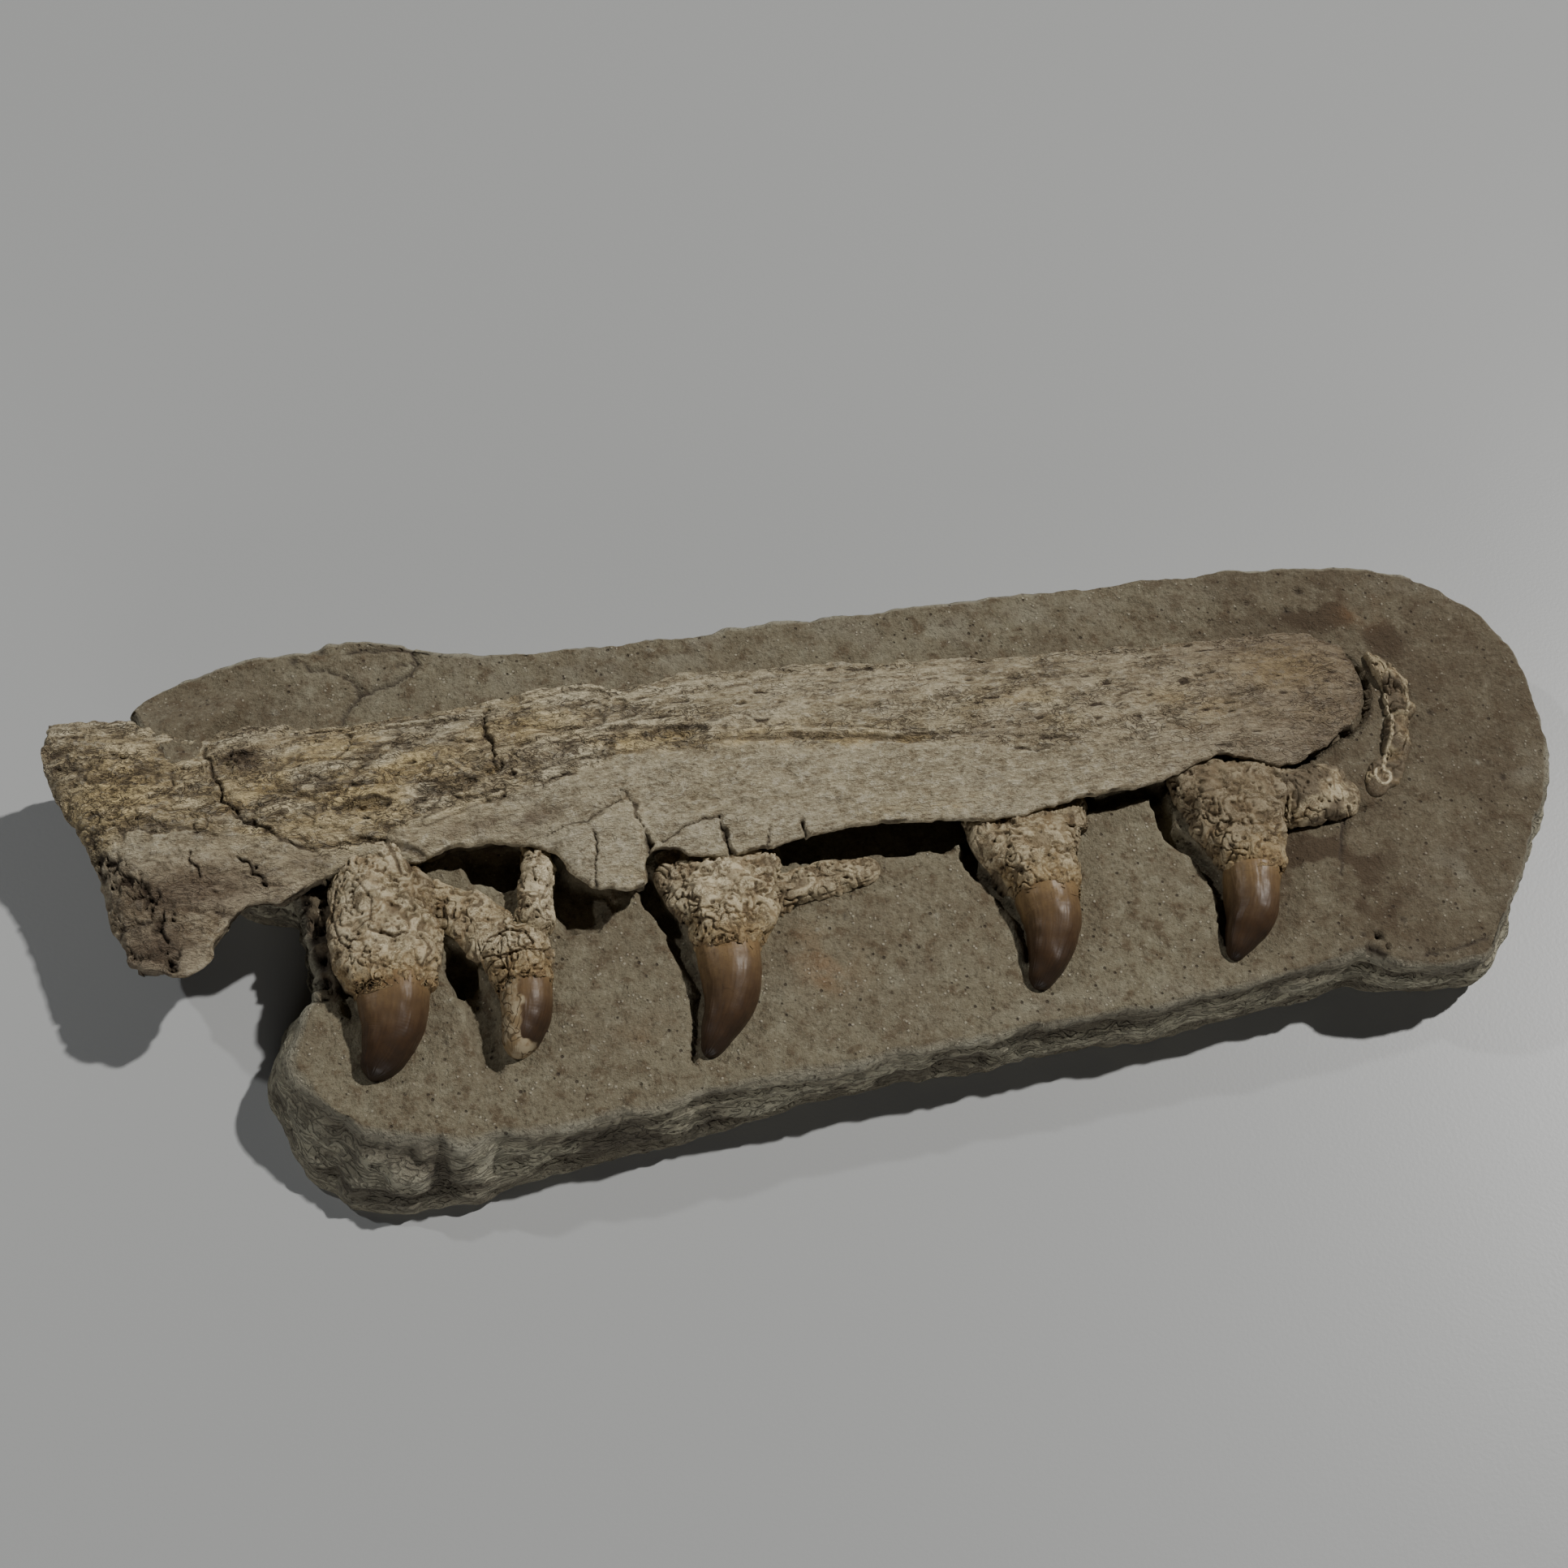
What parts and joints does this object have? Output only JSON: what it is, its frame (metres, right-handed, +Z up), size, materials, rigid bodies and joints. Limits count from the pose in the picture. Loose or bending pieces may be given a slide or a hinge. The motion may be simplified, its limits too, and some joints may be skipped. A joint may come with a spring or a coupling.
{
  "type": "fossil mosasaur jaw on a matrix slab",
  "caption": "Fossil lower-jaw bone of a mosasaur with curved teeth, lying on a flat slab of rock matrix, its broken rear end overhanging the slab.",
  "frame": {"origin": "middle of the whole piece's box in plan, at the level of the slab's flat underside", "axes": "+X along the jaw from its broken rear end to its tip, +Y from the teeth to the jaw's back edge, +Z up out of the slab"},
  "size_m": [0.4678, 0.191, 0.042],
  "materials": {
    "matrix": "matt, granular olive-grey phosphate matrix",
    "bone": "dull, fibrous tan fossil bone",
    "root_bone": "dull, porous pale fossil bone of attachment",
    "enamel": "satin brown tooth enamel"
  },
  "bodies": {
    "root": {"matrix_slab": "matrix", "dentary": "bone", "dentary_rear_end": "bone", "tip_fragment": "root_bone", "tooth_1_bridge": "root_bone", "tooth_2_strut": "root_bone", "tooth_3_shelf": "root_bone", "tooth_5_block": "root_bone", "tooth_1_root": "root_bone", "tooth_2_root": "root_bone", "tooth_3_root": "root_bone", "tooth_4_root": "root_bone", "tooth_5_root": "root_bone", "tooth_1_crown": "enamel", "tooth_2_crown": "enamel", "tooth_3_crown": "enamel", "tooth_4_crown": "enamel", "tooth_5_crown": "enamel"}
  },
  "joints": []
}
